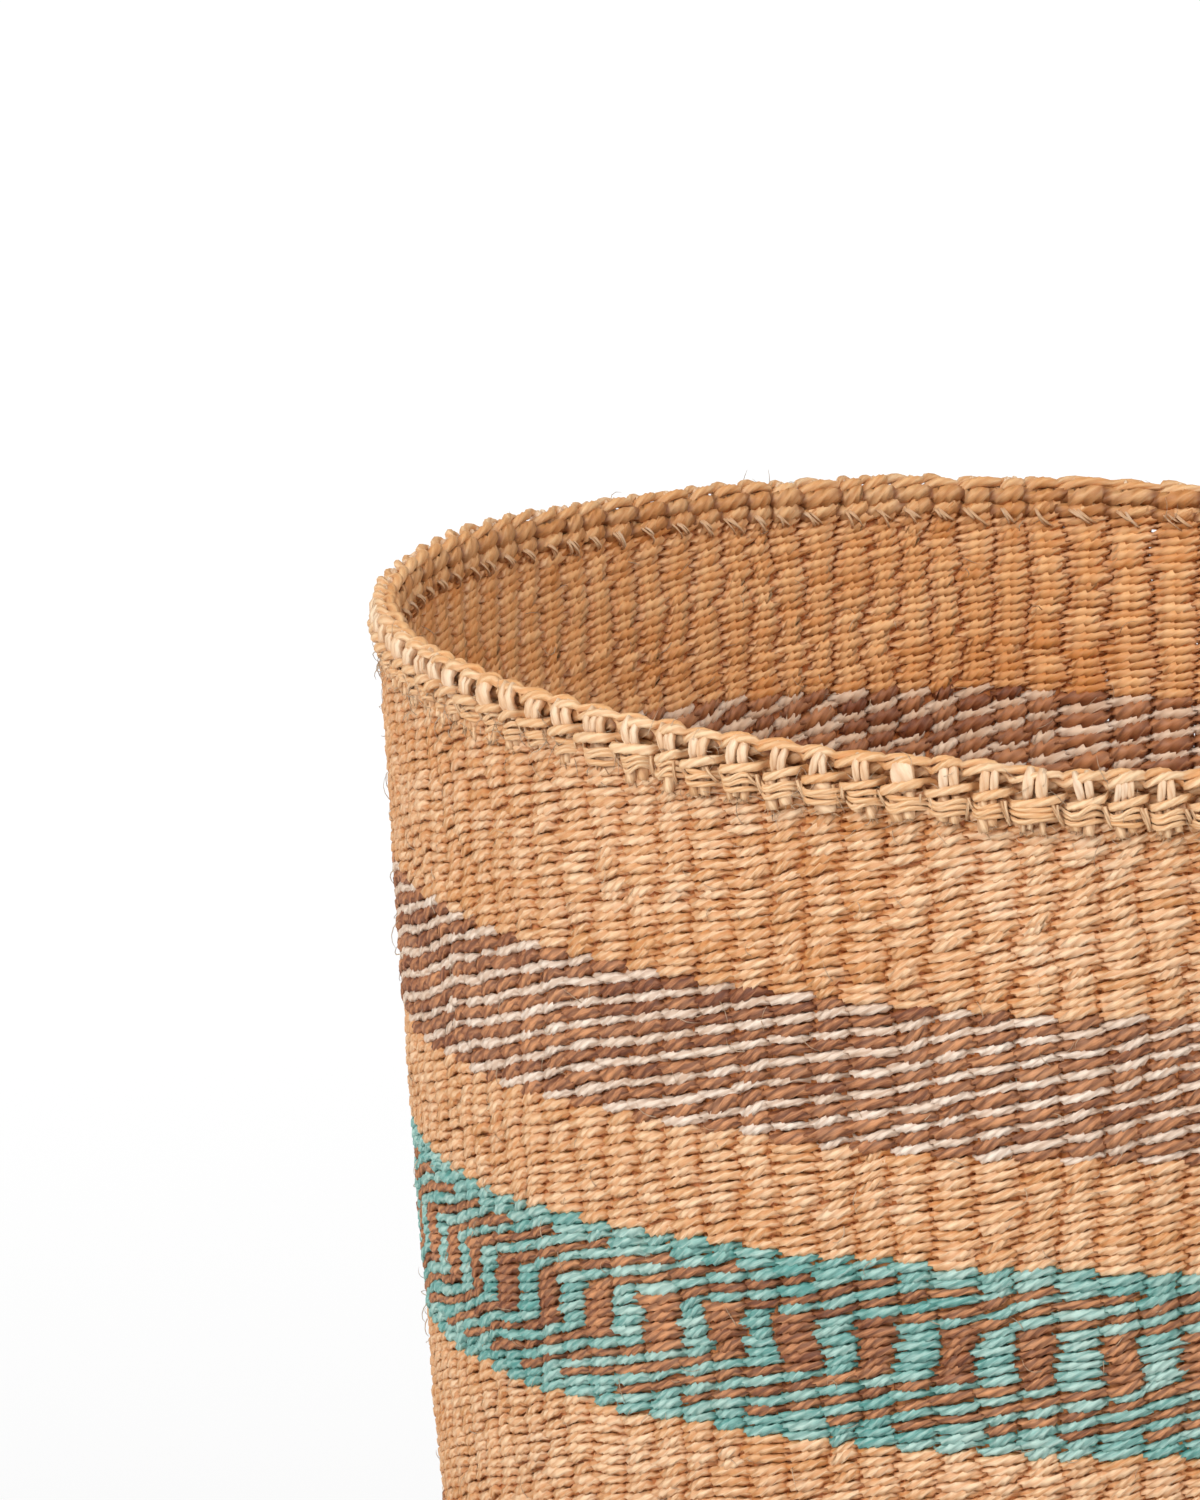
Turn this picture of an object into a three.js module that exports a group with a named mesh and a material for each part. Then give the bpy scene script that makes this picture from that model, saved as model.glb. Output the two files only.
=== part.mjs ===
// A tall round sisal basket, hand-twined in bands of natural, brown, cream and teal cord.
// Units are millimetres, +Z is up, and the origin is the middle of the underside.
// The wall is a stack of bands of weft, each a closed ring, on a round twined base. Upright cords,
// the warps, run inside every band. They show as short posts under the rim cord and as cut ends
// folded down outside it. The lay and the single stitches of the cords are left out of the solids.
import * as THREE from "three";

// Cord and weave
const warpCount = 108; // upright cords round the wall
const rowPitch = 2.04; // height of one row of twining
const wallThickness = 4.6; // two weft cords with a warp between them

// Wall, measured on its outer face
const footRadius = 127.4; // where the wall leaves the rounded turn of the base
const mouthRadius = 147.8; // under the rim
const wallBelly = 1.3; // how far the wall bows out half way up
const turnHeight = 17.2; // rounded turn between base and wall

// Rows of weft in each band, from the base up
const rows = {
  lowerNatural: 27,
  lowerStripe: 14,
  naturalBelowTeal: 19,
  tealLowerEdge: 2,
  lowerStair: 5,
  block: 6,
  upperStair: 4,
  tealUpperEdge: 2,
  naturalAboveTeal: 11,
  upperStripe: 14,
  upperNatural: 21,
};

// Base, where the rounds change because more warps come in
const baseStartRadius = 10.2;
const baseInnerRadius = 36;
const baseMiddleRadius = 88;
const baseStartRise = 1.2; // the crossed warps stand up a little inside

// Rim
const lowerCordHeight = 2.6;
const lowerCordOut = 2.4; // how far it stands out over the wall
const lowerCordIn = 0.5; // how far it stands in over the wall
const cordFlatInset = 0.9; // rounding of a cord's section, from its side to its flat
const postHeight = 2.4;
const postWidth = 3.6;
const postThickness = 2.4;
const postHoopHeight = 0.5; // low hoop on which the posts stand
const postEdge = 0.25; // slope of a post's side
const topCordHeight = 2.8;
const topCordWidth = 4.8;
const topCordDip = 0.8; // depth of the dip between two arcs of the cord
const warpEndLength = 6.4; // the folded ends, from the lower cord down
const warpEndProud = 3.2;
const warpEndWidth = 4.6;
const wrapHeight = 4.2; // fine weft that holds the folded ends to the wall
const wrapProud = 0.9;
const fitGap = 0.3; // between the wall and the folded ends outside it

const ringSegments = 54;
const arcSteps = 6;

// Levels and radii that follow from the sizes above
const wallRows = Object.values(rows).reduce((sum, count) => sum + count, 0);
const wallTop = turnHeight + wallRows * rowPitch;
const wallHeight = wallTop - turnHeight;
const lowerCordTop = wallTop + lowerCordHeight;
const postTop = lowerCordTop + postHeight;
const rimTop = postTop + topCordHeight;
const rimMiddleRadius = mouthRadius - wallThickness / 2 + (lowerCordOut - lowerCordIn) / 2;
const warpAngle = (2 * Math.PI) / warpCount;

// Outer radius of the wall at a height: a straight taper with a slight belly.
function wallRadius(z) {
  const t = (z - turnHeight) / wallHeight;
  return footRadius + (mouthRadius - footRadius) * t + 4 * wallBelly * t * (1 - t);
}

// The turn is an arc that leaves the flat base level and meets the wall at the wall's own lean.
const footLean = Math.atan((mouthRadius - footRadius + 4 * wallBelly) / wallHeight);
const turnRadius = turnHeight / (1 - Math.sin(footLean));
const baseRadius = footRadius - turnRadius * Math.cos(footLean);
const baseThickness = wallThickness;

// Finishes
const colours = {
  natural: 0xd9a873,
  naturalDeep: 0xc88f55,
  brown: 0x99603c,
  cream: 0xe4d0bd,
  teal: 0x7fbdb2,
  warp: 0xe0bd94,
};

function finish(colour, roughness = 0.8) {
  return new THREE.MeshStandardMaterial({ color: colour, roughness, metalness: 0 });
}

const basket = new THREE.Group();
basket.name = "sisal_basket";

function addPiece(name, geometry, material) {
  const mesh = new THREE.Mesh(geometry, material);
  mesh.name = name;
  basket.add(mesh);
}

// A ring or disc turned about the upright axis, from [radius, height] points listed with the
// solid on their left. A ring's points close on themselves; a disc starts and ends on the axis.
function turned(points, closed = true) {
  const outline = points.map(([radius, z]) => new THREE.Vector2(radius, z));
  if (closed) outline.push(outline[0].clone());
  return new THREE.LatheGeometry(outline, ringSegments).rotateX(Math.PI / 2);
}

// A ring whose section changes on its way round: stations are [angle, section] pairs, and each
// section has the same number of [radius, height] points, listed with the solid on their left.
function stationRing(stations) {
  const sectionSize = stations[0][1].length;
  const positions = [];
  const index = [];
  for (const [angle, section] of stations)
    for (const [radius, z] of section)
      positions.push(radius * Math.cos(angle), radius * Math.sin(angle), z);
  for (let i = 0; i < stations.length; i++)
    for (let j = 0; j < sectionSize; j++) {
      const next = (i + 1) % stations.length;
      const a = i * sectionSize + j;
      const b = i * sectionSize + ((j + 1) % sectionSize);
      const c = next * sectionSize + ((j + 1) % sectionSize);
      const d = next * sectionSize + j;
      index.push(a, c, b, a, d, c);
    }
  const geometry = new THREE.BufferGeometry();
  geometry.setAttribute("position", new THREE.Float32BufferAttribute(positions, 3));
  geometry.setIndex(index);
  geometry.computeVertexNormals();
  return geometry;
}

// One entry per station for every warp: offsets are in millimetres along the ring.
function stationsPerWarp(radius, shapes) {
  const stations = [];
  for (let warp = 0; warp < warpCount; warp++)
    for (const { offset, section } of shapes)
      stations.push([warp * warpAngle + offset / radius, section]);
  return stations;
}

// Base: a start where the first warps cross, then rounds of twining, flat underneath
const startOutline = [
  [0, 0],
  [baseStartRadius, 0],
  [baseStartRadius, baseThickness],
  [baseStartRadius * 0.6, baseThickness + baseStartRise],
  [0, baseThickness + baseStartRise],
];
addPiece("base_start", turned(startOutline, false), finish(colours.naturalDeep));

function baseRound(name, innerRadius, outerRadius) {
  const outline = [
    [innerRadius, 0],
    [outerRadius, 0],
    [outerRadius, baseThickness],
    [innerRadius, baseThickness],
  ];
  addPiece(name, turned(outline), finish(colours.natural));
}
baseRound("base_inner_rounds", baseStartRadius, baseInnerRadius);
baseRound("base_middle_rounds", baseInnerRadius, baseMiddleRadius);
baseRound("base_outer_rounds", baseMiddleRadius, baseRadius);

// The rounded turn: the outer arc upwards, then the inner arc back down to the base
function turnOutline() {
  const innerArc = turnRadius - wallThickness;
  const innerLean = Math.asin((turnRadius - turnHeight) / innerArc);
  const points = [];
  for (let i = 0; i <= arcSteps; i++) {
    const angle = -Math.PI / 2 + ((Math.PI / 2 - footLean) * i) / arcSteps;
    const z = i === arcSteps ? turnHeight : turnRadius + turnRadius * Math.sin(angle);
    points.push([baseRadius + turnRadius * Math.cos(angle), z]);
  }
  points.push([wallRadius(turnHeight) - wallThickness, turnHeight]);
  for (let i = 1; i <= arcSteps; i++) {
    const angle = -innerLean - ((Math.PI / 2 - innerLean) * i) / arcSteps;
    const z = i === arcSteps ? baseThickness : turnRadius + innerArc * Math.sin(angle);
    points.push([baseRadius + innerArc * Math.cos(angle), z]);
  }
  return points;
}
addPiece("base_turn", turned(turnOutline()), finish(colours.natural));

// Wall: one ring for each band of weft, stacked row by row
let bandFoot = turnHeight;
function wallBand(name, rowCount, colour) {
  const bandTop = bandFoot + rowCount * rowPitch;
  const outline = [
    [wallRadius(bandFoot) - wallThickness, bandFoot],
    [wallRadius(bandFoot), bandFoot],
    [wallRadius(bandTop), bandTop],
    [wallRadius(bandTop) - wallThickness, bandTop],
  ];
  addPiece(name, turned(outline), finish(colour));
  bandFoot = bandTop;
}
wallBand("lower_natural_weft", rows.lowerNatural, colours.natural);
wallBand("lower_stripe_weft", rows.lowerStripe, colours.brown);
wallBand("natural_weft_below_teal", rows.naturalBelowTeal, colours.natural);
wallBand("teal_lower_edge_weft", rows.tealLowerEdge, colours.teal);
wallBand("lower_stair_weft", rows.lowerStair, colours.brown);
wallBand("block_weft", rows.block, colours.teal);
wallBand("upper_stair_weft", rows.upperStair, colours.brown);
wallBand("teal_upper_edge_weft", rows.tealUpperEdge, colours.teal);
wallBand("natural_weft_above_teal", rows.naturalAboveTeal, colours.natural);
wallBand("upper_stripe_weft", rows.upperStripe, colours.cream);
wallBand("upper_natural_weft", rows.upperNatural, colours.natural);

// Folded warp ends: a row of short stubs outside the top rows, held by a fine wrapped weft
function foldedSection(proud, length) {
  const foot = wallTop - length;
  const wallSide = (z) => wallRadius(z) + fitGap;
  return [
    [wallSide(foot), foot],
    [wallSide(foot) + proud * 0.8, foot],
    [wallSide(foot) + proud, foot + length * 0.35],
    [wallSide(wallTop) + proud * 0.6, wallTop],
    [wallSide(wallTop), wallTop],
  ];
}
const stub = foldedSection(warpEndProud, warpEndLength);
const wrap = foldedSection(wrapProud, wrapHeight);
const foldedStations = stationsPerWarp(mouthRadius, [
  { offset: -warpEndWidth / 2, section: stub },
  { offset: warpEndWidth / 2, section: stub },
  { offset: (mouthRadius * warpAngle) / 2, section: wrap },
]);
addPiece("folded_warp_ends", stationRing(foldedStations), finish(colours.warp));

// A rim cord's section is flat below and above, and bulges at its middle height.
function cordOutline(innerRadius, outerRadius, foot, top) {
  const middle = (foot + top) / 2;
  return [
    [innerRadius + cordFlatInset, foot],
    [outerRadius - cordFlatInset, foot],
    [outerRadius, middle],
    [outerRadius - cordFlatInset, top],
    [innerRadius + cordFlatInset, top],
    [innerRadius, middle],
  ];
}
const lowerCordOutline = cordOutline(
  mouthRadius - wallThickness - lowerCordIn,
  mouthRadius + lowerCordOut,
  wallTop,
  lowerCordTop,
);
addPiece("rim_lower_cord", turned(lowerCordOutline), finish(colours.natural));

// Posts: the bare warps between the two rim cords, with open holes from post to post
function postSection(top) {
  const inner = rimMiddleRadius - postThickness / 2;
  const outer = rimMiddleRadius + postThickness / 2;
  return [
    [inner, lowerCordTop],
    [outer, lowerCordTop],
    [outer, top],
    [inner, top],
  ];
}
const postStations = stationsPerWarp(rimMiddleRadius, [
  { offset: -postWidth / 2 - postEdge, section: postSection(lowerCordTop + postHoopHeight) },
  { offset: -postWidth / 2, section: postSection(postTop) },
  { offset: postWidth / 2, section: postSection(postTop) },
  { offset: postWidth / 2 + postEdge, section: postSection(lowerCordTop + postHoopHeight) },
]);
addPiece("rim_warp_posts", stationRing(postStations), finish(colours.warp));

// Top cord: it arcs over each warp and dips between them
function topCordSection(top) {
  const inner = rimMiddleRadius - topCordWidth / 2;
  return cordOutline(inner, inner + topCordWidth, postTop, top);
}
const topCordStations = stationsPerWarp(rimMiddleRadius, [
  { offset: 0, section: topCordSection(rimTop) },
  { offset: (rimMiddleRadius * warpAngle) / 2, section: topCordSection(rimTop - topCordDip) },
]);
addPiece("rim_top_cord", stationRing(topCordStations), finish(colours.natural));

export default basket;
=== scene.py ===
"""A tall round sisal basket, hand-twined in natural, brown, cream and teal cord.

Every row of the basket is two cords that pass on either side of the upright warps and swap sides
between them. The rows are closed rings of such cord pairs, placed along the basket's own middle
surface, which runs over the base, round the turn and up the wall.
"""

import logging
import math
from collections.abc import Sequence
from dataclasses import dataclass, field, replace
from enum import Enum

import bpy
import numpy as np
from mathutils import Matrix, Vector


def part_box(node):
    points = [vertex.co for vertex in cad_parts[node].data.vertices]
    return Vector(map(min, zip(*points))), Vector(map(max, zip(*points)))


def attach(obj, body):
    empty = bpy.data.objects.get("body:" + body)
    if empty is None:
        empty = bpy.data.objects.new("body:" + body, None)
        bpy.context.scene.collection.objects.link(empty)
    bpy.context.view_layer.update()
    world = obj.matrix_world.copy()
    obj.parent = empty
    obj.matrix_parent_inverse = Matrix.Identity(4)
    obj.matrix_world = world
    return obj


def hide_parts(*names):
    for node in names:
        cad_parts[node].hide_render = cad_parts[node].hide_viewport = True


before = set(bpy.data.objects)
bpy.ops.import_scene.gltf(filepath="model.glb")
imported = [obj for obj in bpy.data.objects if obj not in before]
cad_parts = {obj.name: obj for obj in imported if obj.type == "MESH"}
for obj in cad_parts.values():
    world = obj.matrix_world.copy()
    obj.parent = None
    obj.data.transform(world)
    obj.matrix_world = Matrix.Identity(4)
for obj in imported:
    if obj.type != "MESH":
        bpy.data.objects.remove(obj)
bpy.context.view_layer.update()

log = logging.getLogger("basket")

MM = 0.001
LEAST = 1e-9
FULL_TURN = 2 * math.pi
FRONT = -math.pi / 2
WHITE = (1.0, 1.0, 1.0, 1.0)
ROOT_BODY = "root"

Array = np.ndarray
Floats = tuple[float, ...]
Colour = tuple[float, float, float]
Dice = np.random.Generator
Material = bpy.types.Material
Piece = bpy.types.Object


def mm(*lengths: float) -> Floats:
    """Turns millimetres into metres."""
    return tuple(length * MM for length in lengths)


def linear(colour: Colour) -> Colour:
    """Turns a screen colour from 0 to 255 into shares of light, by the usual screen curve."""
    shares = [c / 255 for c in colour]
    return tuple(c / 12.92 if c < 0.04045 else ((c + 0.055) / 1.055) ** 2.4 for c in shares)


def from_front(angle: Array) -> Array:
    """Gives the degrees from the basket's front round by its left, from 0 to 360."""
    return np.degrees(FRONT - angle) % 360


def between(first: Array | float, second: Array | float, share: Array) -> Array:
    """Goes evenly from the first value to the second as the share goes from 0 to 1."""
    return first + (second - first) * share


def oval(share: Array, deep: Array | float, wide: Array | float) -> tuple[Array, Array]:
    """Gives an oval's corners as deep times the cosine and wide times the sine of each share."""
    deep, wide = np.asarray(deep)[..., None], np.asarray(wide)[..., None]
    return deep * np.cos(FULL_TURN * share), wide * np.sin(FULL_TURN * share)


def unit(direction: Array) -> Array:
    """Scales directions to a length of one."""
    return direction / np.maximum(np.linalg.norm(direction, axis=-1, keepdims=True), LEAST)


def outward_at(path: Array) -> Array:
    """Gives the level direction away from the basket's axis at each point."""
    return unit(path * np.array([1.0, 1.0, 0.0]))


@dataclass(frozen=True)
class Curve:
    """A value that is read by straight lines between given places."""

    places: Floats
    values: Floats

    def __call__(self, at: Array) -> Array:
        """Gives the value at each place."""
        return np.interp(at, self.places, self.values)


@dataclass
class Draws:
    """Random values, one for each strand, shaped strand, 1."""

    dice: Dice
    count: int

    def normal(self, middle: float, spread: float) -> Array:
        """Draws values that gather round a middle."""
        return self.dice.normal(middle, spread, (self.count, 1))

    def uniform(self, low: float, high: float) -> Array:
        """Draws values evenly between two limits."""
        return self.dice.uniform(low, high, (self.count, 1))


class Cord(Enum):
    """The dyed cords that the weaver works with."""

    NATURAL = 0
    BROWN = 1
    CREAM = 2
    TEAL = 3


class Motif(Enum):
    """How the two cords of a row change from row to row."""

    PLAIN = "both cords alike"
    STAIR = "the cords swap at every row, so each colour climbs like a stair"
    BLOCK = "the cords never swap, so each colour stands in upright blocks"


@dataclass(frozen=True)
class Weave:
    """Sizes of the twining that the whole basket shares, in metres."""

    warps: int = 108
    row_pitch: float = 2.04 * MM
    wall: float = 4.6 * MM


WEAVE = Weave()


@dataclass(frozen=True)
class Twine:
    """How one kind of cord pair lies along its row, in metres.

    The depth is how far a cord's middle swings from the pair's middle, and the stand is how far
    the pair's middle lies outside the basket's middle surface. The pinch is the share of the
    section's height that is left where the two cords cross, the squeeze its thickness there, and
    the dip the share of the slant that is lost there. The inner sizes are the shares of the
    height, the slant and the depth that a stitch has inside the wall. The lower the bluntness,
    the longer a stitch stays outside. The steps are the places of the section's rings, counted
    in warps.
    """

    thickness: float = 1.42 * MM
    height: float = 2.9 * MM
    depth: float = 1.57 * MM
    slant: float = 0.95 * MM
    arch: float = 0.0
    stand: float = 0.0
    pinch: float = 0.38
    squeeze: float = 2.5
    dip: float = 0.18
    sides: int = 5
    unevenness: float = 1.0
    inner_height: float = 1.3
    inner_slant: float = 0.6
    inner_depth: float = 0.68
    bluntness: float = 0.5
    steps: Floats = (-0.5, -0.38, -0.13, 0.13, 0.38)


WALL_TWINE = Twine()
BASE_TWINE = Twine(sides=4)
RIM_STEPS = (-0.5, -0.43, -0.3, -0.1, 0.1, 0.3, 0.43)
LOWER_RIM_TWINE = Twine(
    thickness=1.7 * MM, height=2.1 * MM, depth=2.35 * MM, slant=0.95 * MM, arch=0.1 * MM,
    stand=1.25 * MM, pinch=0.7, squeeze=1.1, dip=0.0, sides=7, inner_depth=1.2, bluntness=0.35,
    steps=RIM_STEPS,
)
TOP_RIM_TWINE = Twine(
    thickness=1.95 * MM, height=2.0 * MM, depth=1.35 * MM, slant=0.85 * MM, arch=1.0 * MM,
    stand=0.75 * MM, pinch=0.75, squeeze=1.0, dip=0.0, sides=8, unevenness=1.4,
    inner_height=1.05, inner_depth=1.0, bluntness=0.6, steps=RIM_STEPS,
)
INNER_RIM_TWINE = Twine(
    thickness=1.8 * MM, height=3.2 * MM, depth=0.9 * MM, slant=0.5 * MM, stand=-0.6 * MM, pinch=0.7,
    squeeze=1.25, dip=0.0, unevenness=1.6, inner_depth=1.0,
)


@dataclass(frozen=True)
class Wander:
    """A smooth random field over the basket, as a sum of waves round it and along it."""

    seed: int
    size: float
    round_waves: int
    along_length: float
    count: int = 14

    def __call__(self, angle: Array, along: Array) -> Array:
        """Gives the field's value.

        Formula: the sum of cosines of a whole number times the angle plus a rate times the way
        along the surface plus a phase, scaled to the field's size.

        Args:
            angle: angle round the basket, in radians.
            along: way along the middle surface from the base's centre, in metres.

        Returns:
            The value at each point, mostly between minus and plus twice the size.
        """
        dice = np.random.default_rng(self.seed)
        total = np.zeros(np.broadcast(angle, along).shape)
        for _ in range(self.count):
            rounds = dice.integers(0, self.round_waves + 1)
            rate = dice.normal() * FULL_TURN / self.along_length
            phase = dice.uniform(0, FULL_TURN)
            total = total + np.cos(rounds * angle + rate * along + phase)
        return self.size * total / math.sqrt(self.count / 2)


@dataclass
class BasketForm:
    """The basket's middle surface, read from the CAD frame.

    The surface is a curve of radius and height, followed by its length from the base's centre.
    """

    wall_nodes: Sequence[str]
    turn_node: str = "base_turn"
    floor_node: str = "base_outer_rounds"
    reach_above: float = 12 * MM
    steps: int = 600
    length: Array = field(init=False)
    radius: Array = field(init=False)
    height: Array = field(init=False)
    outward: Array = field(init=False)
    upward: Array = field(init=False)
    levels: Array = field(init=False)

    def __post_init__(self) -> None:
        """Builds the curve: the flat base, the arc of the turn, and the bowed taper of the wall.

        Formula: the wall's outside is the parabola of radius over height that comes nearest to
        the bands' edges. The turn is an arc that leaves the floor level and meets the wall at its
        lean. The middle surface lies half a wall inside both, and its upward and outward
        directions come from how its radius and height grow with its length.
        """
        boxes = [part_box(name) for name in self.wall_nodes]
        self.levels = np.array([boxes[0][0].z] + [high.z for _, high in boxes])
        reaches = [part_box(self.turn_node)[1].y] + [high.y for _, high in boxes]
        taper = np.polyfit(self.levels, reaches, 2)
        base_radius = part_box(self.floor_node)[1].y
        lean = math.atan(np.polyval(np.polyder(taper), self.levels[0]))
        turn_radius = self.levels[0] / (1 - math.sin(lean))
        half = WEAVE.wall / 2

        flat = np.linspace(0, base_radius, self.steps, endpoint=False)
        swing = np.linspace(-math.pi / 2, -lean, self.steps, endpoint=False)
        rise = np.linspace(self.levels[0], self.levels[-1] + self.reach_above, 2 * self.steps)
        wall_lean = np.arctan(np.polyval(np.polyder(taper), rise))
        radius = [flat, base_radius + (turn_radius - half) * np.cos(swing)]
        radius.append(np.polyval(taper, rise) - half * np.cos(wall_lean))
        height = [np.full_like(flat, half), turn_radius + (turn_radius - half) * np.sin(swing)]
        height.append(rise + half * np.sin(wall_lean))
        self.radius = np.concatenate(radius)
        self.height = np.concatenate(height)
        stretch = np.hypot(np.diff(self.radius), np.diff(self.height))
        self.length = np.concatenate([[0], np.cumsum(stretch)])
        across = np.gradient(self.radius, self.length)
        climb = np.gradient(self.height, self.length)
        size = np.hypot(across, climb)
        self.upward = np.stack([across / size, climb / size])
        self.outward = np.stack([climb / size, -across / size])

    def at_height(self, height: Array | float) -> Array:
        """Gives the way along the surface at which the wall is this high."""
        return np.interp(height, self.height[self.steps :], self.length[self.steps :])

    def edge_of(self, node: str) -> float:
        """Gives the way along the surface at the outer edge of one of the base's nodes."""
        edge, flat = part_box(node)[1].y, slice(self.steps)
        return float(np.interp(edge, self.radius[flat], self.length[flat]))

    def radius_at(self, along: Array) -> Array:
        """Gives the radius at a way along the surface, but not less than a few cords."""
        return np.maximum(np.interp(along, self.length, self.radius), WEAVE.wall)

    def place(self, angle: Array, along: Array, out: Array, up: Array) -> Array:
        """Places points near the surface.

        Formula: the curve's point at this length, plus out times its outward direction and up
        times its upward direction, turned about the basket's axis by the angle.

        Args:
            angle: angle round the basket, in radians.
            along: way along the surface, in metres.
            out: distance from the surface, outwards.
            up: distance in the surface, towards the rim.

        Returns:
            The points, with x, y and z in the last axis.
        """
        parts = (self.radius, self.height, *self.outward, *self.upward)
        curves = (np.interp(along, self.length, part) for part in parts)
        radius, height, out_r, out_z, up_r, up_z = curves
        radius = radius + out * out_r + up * up_r
        height = height + out * out_z + up * up_z
        parts = (radius * np.cos(angle), radius * np.sin(angle), height)
        return np.stack(np.broadcast_arrays(*parts), axis=-1)


@dataclass(frozen=True)
class Handwork:
    """How the weaver's hand departs from the round: a slightly tilted mouth and a tighter back.

    Above the teal band the rows climb towards one side. At the back the rows of the upper stripe
    lie higher, so the rows above it are packed closer, and the warps stand closer there too. The
    crowding, in radians, is read by the degrees from the front round by the left.
    """

    tilt_start: float = 140 * MM
    tilt_top: float = 280 * MM
    tilt_slope: float = -0.0396
    tilt_power: float = 1.25
    rise: Curve = Curve(mm(17, 229, 272), (0, 1, 0))
    rise_rate: float = 0.043
    rise_slope: float = -0.3
    rise_softness: float = 25 * MM
    dip: Curve = Curve(mm(125, 178, 200, 229), (0, 1, 1, 0))
    dip_depth: float = 1.3 * MM
    left_depth: Curve = Curve((0, 44, 54, 64, 78, 360), mm(0, 0, 1.4, 1.3, 0, 0))
    crowding: Curve = Curve(
        (0, 40, 53, 62, 70, 90, 120, 150, 190, 345, 360),
        (0, -0.017, -0.03, -0.015, 0.015, 0.045, 0.065, 0.13, 0.26, 0, 0),
    )

    def lift(self, points: Array) -> Array:
        """Moves points up or down, and keeps them above the floor.

        Formula: x times a slope that grows as a power of the share of the way from the start level
        to the top, plus the softened distance behind the axis times a rate that depends on x and
        follows the rise from nothing at the foot through one to nothing near the rim. Less the
        dip's depth times its share at this height, which lowers the rows round the top of the
        teal band by about a millimetre, and more at the left.

        Args:
            points: points before.

        Returns:
            The points after.
        """
        across, behind, height = np.moveaxis(points, -1, 0)
        share = np.clip((height - self.tilt_start) / (self.tilt_top - self.tilt_start), 0, None)
        softened = 0.5 * (behind + np.hypot(behind, self.rise_softness))
        depth = self.dip_depth + self.left_depth(from_front(np.arctan2(behind, across)))
        moved = points.copy()
        moved[..., 2] += self.tilt_slope * share**self.tilt_power * across
        moved[..., 2] += self.rise(height) * softened * (self.rise_rate + self.rise_slope * across)
        moved[..., 2] -= depth * self.dip(height)
        moved[..., 2] = np.maximum(moved[..., 2], 0)
        return moved

    def crowd(self, angle: Array) -> Array:
        """Moves the warps round by the crowding, which is read by the degrees from the front."""
        return angle + self.crowding(from_front(angle))


HAND = Handwork()


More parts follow.
